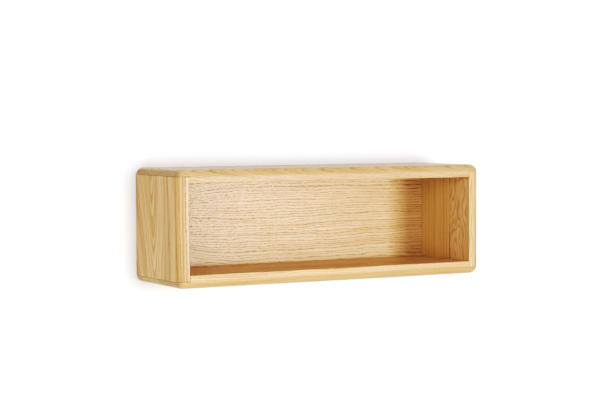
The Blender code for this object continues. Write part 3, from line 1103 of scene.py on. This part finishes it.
# A backdrop with a hole behind the shelf, so that the shelf's back shows from the rear
def makeWall():
    bm = bmesh.new()
    size = stage["wallSize"]
    y = stage["wallGap"]
    outer = [bm.verts.new((x * size, y, z * size)) for x, z in ((-1, -1), (1, -1), (1, 1), (-1, 1))]
    corners = [(cadLow.x, cadLow.z), (cadHigh.x, cadLow.z), (cadHigh.x, cadHigh.z), (cadLow.x, cadHigh.z)]
    hole = bm.faces.new([bm.verts.new((x, y, z)) for x, z in corners])
    bmesh.ops.bevel(
        bm, geom=list(hole.verts), offset=shelf["outerRadius"], offset_type="OFFSET", affect="VERTICES",
        segments=stage["wallCornerSteps"], profile=0.5, material=-1,
    )
    for i in range(4):
        bm.edges.new((outer[i - 1], outer[i]))
    bmesh.ops.delete(bm, geom=bm.faces[:], context="FACES_ONLY")
    bmesh.ops.triangle_fill(bm, edges=bm.edges[:], use_beauty=True)
    for face in bm.faces:
        if face.normal.y > 0:
            face.normal_flip()
    paint = oneSidedPaint("matWallPaint", stage["wallColour"], stage["wallBounce"])
    wall = newObject("wall", bm, paint)
    return wall


def makeFloor():
    bm = bmesh.new()
    bmesh.ops.create_grid(bm, x_segments=1, y_segments=1, size=stage["floorSize"])
    bmesh.ops.translate(bm, vec=(0, 0, stage["floorZ"]), verts=bm.verts)
    paint = oneSidedPaint("paleFloorPaint", stage["floorColour"], stage["floorColour"])
    newObject("floor", bm, paint)


wall = makeWall()
makeFloor()

# Each lamp's azimuth is counted to the right of the shelf's front, in degrees. The wash lights only the
# backdrop, and keeps it white with a faint soft shadow. The other lamps light everything but it.
lamps = {
    "key": {"azimuth": 21, "elevation": 0, "distance": 4.15, "size": (1.1, 0.6), "power": 76},
    "fill": {"azimuth": -43, "elevation": 3, "distance": 3.0, "size": (1.8, 1.4), "power": 39},
    "wash": {"azimuth": -0.8, "elevation": 1.5, "distance": 4.0, "size": (1.3, 1.2), "power": 160},
    "sky": {"azimuth": 0, "elevation": 62, "distance": 2.0, "size": (1.2, 0.8), "power": 5},
    "rear": {"azimuth": 156, "elevation": 18, "distance": 1.9, "size": (0.8, 0.8), "power": 12},
}


def makeLamp(name, lamp):
    azimuth, elevation = math.radians(lamp["azimuth"]), math.radians(lamp["elevation"])
    centre = Vector((0, cadLow.y / 2, middleZ))
    reach = math.cos(elevation)
    out = Vector((math.sin(azimuth) * reach, -math.cos(azimuth) * reach, math.sin(elevation)))
    data = bpy.data.lights.new(name, "AREA")
    data.shape = "RECTANGLE"
    data.size, data.size_y = lamp["size"]
    data.energy = lamp["power"]
    obj = bpy.data.objects.new(name, data)
    obj.location = centre + lamp["distance"] * out
    obj.rotation_euler = (-out).to_track_quat("-Z", "Y").to_euler()
    obj.visible_camera = False
    bpy.context.scene.collection.objects.link(obj)
    receivers = bpy.data.collections.new(name + "Receivers")
    receivers.objects.link(wall)
    linking = receivers.collection_objects[0].light_linking
    linking.link_state = "INCLUDE" if name == "wash" else "EXCLUDE"
    obj.light_linking.receiver_collection = receivers


for name, lamp in lamps.items():
    makeLamp(name, lamp)

world = bpy.data.worlds.new("studio")
bpy.context.scene.world = world
world.use_nodes = True
world.node_tree.nodes["Background"].inputs["Color"].default_value = (1, 1, 1, 1)
world.node_tree.nodes["Background"].inputs["Strength"].default_value = stage["world"]

# A long lens from the front left, a little above the top
camera = {
    "place": (-1.2291, -2.2468, 0.0735),
    "yaw": 29.05,           # degrees to the right of straight ahead
    "pitch": 2.61,          # degrees down
    "roll": 0.23,
    "lens": 102.24,
    "sensor": 36,
}


def makeCamera():
    yaw, pitch, roll = (math.radians(camera[key]) for key in ("yaw", "pitch", "roll"))
    forward = Vector((math.sin(yaw) * math.cos(pitch), math.cos(yaw) * math.cos(pitch), -math.sin(pitch)))
    right = Vector((math.cos(yaw), -math.sin(yaw), 0))
    down = forward.cross(right)
    acrossAxis = math.cos(roll) * right + math.sin(roll) * down
    downAxis = -math.sin(roll) * right + math.cos(roll) * down
    data = bpy.data.cameras.new("camera")
    data.lens = camera["lens"]
    data.sensor_width = camera["sensor"]
    obj = bpy.data.objects.new("camera", data)
    bpy.context.scene.collection.objects.link(obj)
    turn = Matrix((acrossAxis, -downAxis, -forward)).transposed()
    obj.matrix_world = Matrix.Translation(camera["place"]) @ turn.to_4x4()
    bpy.context.scene.camera = obj


makeCamera()

# Contrast: pairs of light in and light shown, both linear
tone = (
    (0.0, 0.0), (0.083, 0.037), (0.2, 0.2), (0.34, 0.44),
    (0.52, 0.64), (0.75, 0.83), (0.9, 0.94), (1.0, 1.0),
)


def setTone():
    view = bpy.context.scene.view_settings
    view.view_transform = "Standard"
    view.use_curve_mapping = True
    mapping = view.curve_mapping
    mapping.extend = "HORIZONTAL"
    points = mapping.curves[3].points    # the curve that all three colours share
    while len(points) < len(tone):
        points.new(0.5, 0.5)
    for point, place in zip(points, tone):
        point.location = place
    mapping.update()


setTone()
print("stage made")
